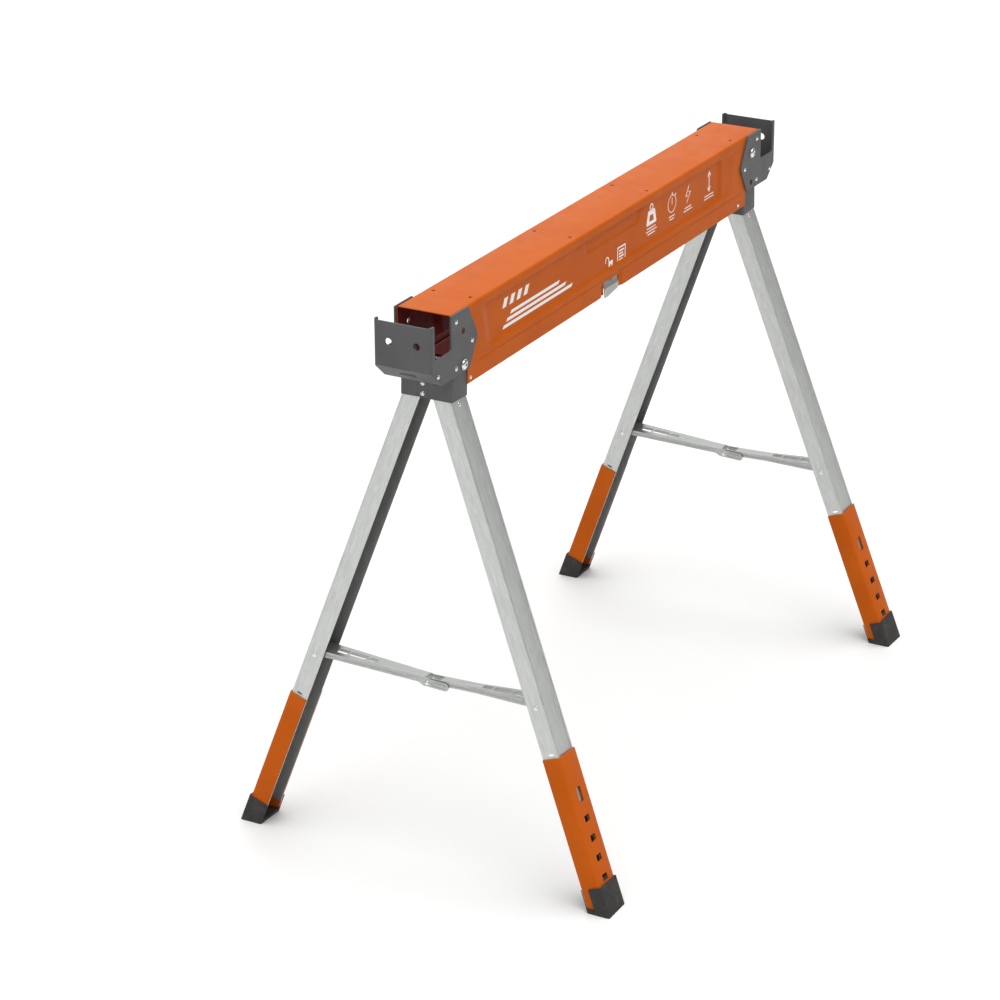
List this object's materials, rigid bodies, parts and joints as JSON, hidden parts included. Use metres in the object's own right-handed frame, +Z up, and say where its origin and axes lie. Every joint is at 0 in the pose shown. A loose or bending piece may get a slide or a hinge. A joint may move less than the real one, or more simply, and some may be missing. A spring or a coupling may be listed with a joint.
{
  "type": "folding sawhorse",
  "caption": "Folding steel sawhorse: channel beam with end cradles, two leg pairs that splay and fold into the beam, hinged braces, telescoping feet and a latch.",
  "frame": {"origin": "on the floor, under the centre of the beam", "axes": "+X along the beam towards its far end, +Y across the beam to its left, +Z up"},
  "size_m": [0.993, 0.5574, 0.762],
  "materials": {
    "orange_paint": "satin powder coat",
    "grey_paint": "satin powder coat",
    "galvanised_steel": "galvanised",
    "zinc_plated_steel": "bright zinc",
    "spring_steel": "plain",
    "black_rubber": "matte"
  },
  "bodies": {
    "beam": {"beam_shell": "orange_paint", "end_bracket_near": "grey_paint", "end_bracket_far": "grey_paint", "pivot_bolt_near": "zinc_plated_steel", "pivot_bolt_far": "zinc_plated_steel", "pivot_nut_near": "zinc_plated_steel", "pivot_nut_far": "zinc_plated_steel", "latch_pin": "zinc_plated_steel", "latch_spring": "spring_steel"},
    "latch": {"latch_plate": "galvanised_steel"},
    "sleeve_near": {"pivot_sleeve_near": "zinc_plated_steel"},
    "head_near": {"leg_head_near": "grey_paint", "head_rivet_near_1": "zinc_plated_steel", "head_rivet_near_2": "zinc_plated_steel", "splay_pin_near_left": "zinc_plated_steel", "splay_pin_near_right": "zinc_plated_steel"},
    "leg_near_left": {"leg_near_left": "galvanised_steel", "leg_rivet_near_left": "zinc_plated_steel", "lock_spring_near_left": "spring_steel", "brace_pin_near_left": "zinc_plated_steel"},
    "foot_near_left": {"foot_tube_near_left": "orange_paint", "rubber_foot_near_left": "black_rubber"},
    "link_near_left": {"brace_link_near_left": "galvanised_steel", "knuckle_rivet_near_outer": "zinc_plated_steel", "knuckle_rivet_near_inner": "zinc_plated_steel"},
    "leg_near_right": {"leg_near_right": "galvanised_steel", "leg_rivet_near_right": "zinc_plated_steel", "lock_spring_near_right": "spring_steel", "brace_pin_near_right": "zinc_plated_steel"},
    "foot_near_right": {"foot_tube_near_right": "orange_paint", "rubber_foot_near_right": "black_rubber"},
    "link_near_right": {"brace_link_near_right": "galvanised_steel"},
    "sleeve_far": {"pivot_sleeve_far": "zinc_plated_steel"},
    "head_far": {"leg_head_far": "grey_paint", "head_rivet_far_1": "zinc_plated_steel", "head_rivet_far_2": "zinc_plated_steel", "splay_pin_far_left": "zinc_plated_steel", "splay_pin_far_right": "zinc_plated_steel"},
    "leg_far_left": {"leg_far_left": "galvanised_steel", "leg_rivet_far_left": "zinc_plated_steel", "lock_spring_far_left": "spring_steel", "brace_pin_far_left": "zinc_plated_steel"},
    "foot_far_left": {"foot_tube_far_left": "orange_paint", "rubber_foot_far_left": "black_rubber"},
    "link_far_left": {"brace_link_far_left": "galvanised_steel", "knuckle_rivet_far_outer": "zinc_plated_steel", "knuckle_rivet_far_inner": "zinc_plated_steel"},
    "leg_far_right": {"leg_far_right": "galvanised_steel", "leg_rivet_far_right": "zinc_plated_steel", "lock_spring_far_right": "spring_steel", "brace_pin_far_right": "zinc_plated_steel"},
    "foot_far_right": {"foot_tube_far_right": "orange_paint", "rubber_foot_far_right": "black_rubber"},
    "link_far_right": {"brace_link_far_right": "galvanised_steel"}
  },
  "joints": [
    {"name": "latch_press", "type": "hinge", "parent": "beam", "child": "latch", "pos_m": [-0.0135, -0.0335, 0.6785], "axis": [1, 0, 0], "range_deg": [0, 10], "stiffness_Nm_per_rad": 0.08, "springref_deg": -20.05},
    {"name": "tuck_near", "type": "hinge", "parent": "beam", "child": "sleeve_near", "pos_m": [-0.4175, 0, 0.69], "axis": [0, -1, 0], "range_deg": [0, 12.8]},
    {"name": "fold_near", "type": "hinge", "parent": "sleeve_near", "child": "head_near", "pos_m": [-0.4175, 0, 0.69], "axis": [0, -1, 0], "range_deg": [0, 80]},
    {"name": "splay_near_left", "type": "hinge", "parent": "head_near", "child": "leg_near_left", "pos_m": [-0.42063, 0.0145, 0.6665], "axis": [-0.9988, 0, 0.0485], "range_deg": [0, 20.24]},
    {"name": "brace_near_left", "type": "hinge", "parent": "leg_near_left", "child": "link_near_left", "pos_m": [-0.44023, 0.16364, 0.2625], "axis": [-0.9988, 0, 0.0485], "range_deg": [0, 66.78]},
    {"name": "extend_near_left", "type": "slide", "parent": "leg_near_left", "child": "foot_near_left", "axis": [-0.0455, 0.346, -0.9371], "range_m": [0, 0.113], "deforming": ["lock_spring_near_left"]},
    {"name": "splay_near_right", "type": "hinge", "parent": "head_near", "child": "leg_near_right", "pos_m": [-0.42063, -0.0145, 0.6665], "axis": [0.9988, 0, -0.0485], "range_deg": [0, 20.24]},
    {"name": "brace_near_right", "type": "hinge", "parent": "leg_near_right", "child": "link_near_right", "pos_m": [-0.44023, -0.16364, 0.2625], "axis": [0.9988, 0, -0.0485], "range_deg": [0, 66.78]},
    {"name": "extend_near_right", "type": "slide", "parent": "leg_near_right", "child": "foot_near_right", "axis": [-0.0455, -0.346, -0.9371], "range_m": [0, 0.113], "deforming": ["lock_spring_near_right"]},
    {"name": "tuck_far", "type": "hinge", "parent": "beam", "child": "sleeve_far", "pos_m": [0.4175, 0, 0.734], "axis": [0, 1, 0], "range_deg": [0, 12.8]},
    {"name": "fold_far", "type": "hinge", "parent": "sleeve_far", "child": "head_far", "pos_m": [0.4175, 0, 0.734], "axis": [0, 1, 0], "range_deg": [0, 80]},
    {"name": "splay_far_left", "type": "hinge", "parent": "head_far", "child": "leg_far_left", "pos_m": [0.42063, 0.0145, 0.6665], "axis": [-0.9988, 0, -0.0485], "range_deg": [0, 20.24]},
    {"name": "brace_far_left", "type": "hinge", "parent": "leg_far_left", "child": "link_far_left", "pos_m": [0.44023, 0.16364, 0.2625], "axis": [-0.9988, 0, -0.0485], "range_deg": [0, 66.78]},
    {"name": "extend_far_left", "type": "slide", "parent": "leg_far_left", "child": "foot_far_left", "axis": [0.0455, 0.346, -0.9371], "range_m": [0, 0.113], "deforming": ["lock_spring_far_left"]},
    {"name": "splay_far_right", "type": "hinge", "parent": "head_far", "child": "leg_far_right", "pos_m": [0.42063, -0.0145, 0.6665], "axis": [0.9988, 0, 0.0485], "range_deg": [0, 20.24]},
    {"name": "brace_far_right", "type": "hinge", "parent": "leg_far_right", "child": "link_far_right", "pos_m": [0.44023, -0.16364, 0.2625], "axis": [0.9988, 0, 0.0485], "range_deg": [0, 66.78]},
    {"name": "extend_far_right", "type": "slide", "parent": "leg_far_right", "child": "foot_far_right", "axis": [0.0455, -0.346, -0.9371], "range_m": [0, 0.113], "deforming": ["lock_spring_far_right"]}
  ],
  "couplings": [
    {"joint": "splay_near_left", "follows": "fold_near", "ratio": 0.253},
    {"joint": "brace_near_left", "follows": "fold_near", "ratio": 0.8345},
    {"joint": "splay_near_right", "follows": "fold_near", "ratio": 0.253},
    {"joint": "brace_near_right", "follows": "fold_near", "ratio": 0.8345},
    {"joint": "splay_far_left", "follows": "fold_far", "ratio": 0.253},
    {"joint": "brace_far_left", "follows": "fold_far", "ratio": 0.8345},
    {"joint": "splay_far_right", "follows": "fold_far", "ratio": 0.253},
    {"joint": "brace_far_right", "follows": "fold_far", "ratio": 0.8345}
  ]
}
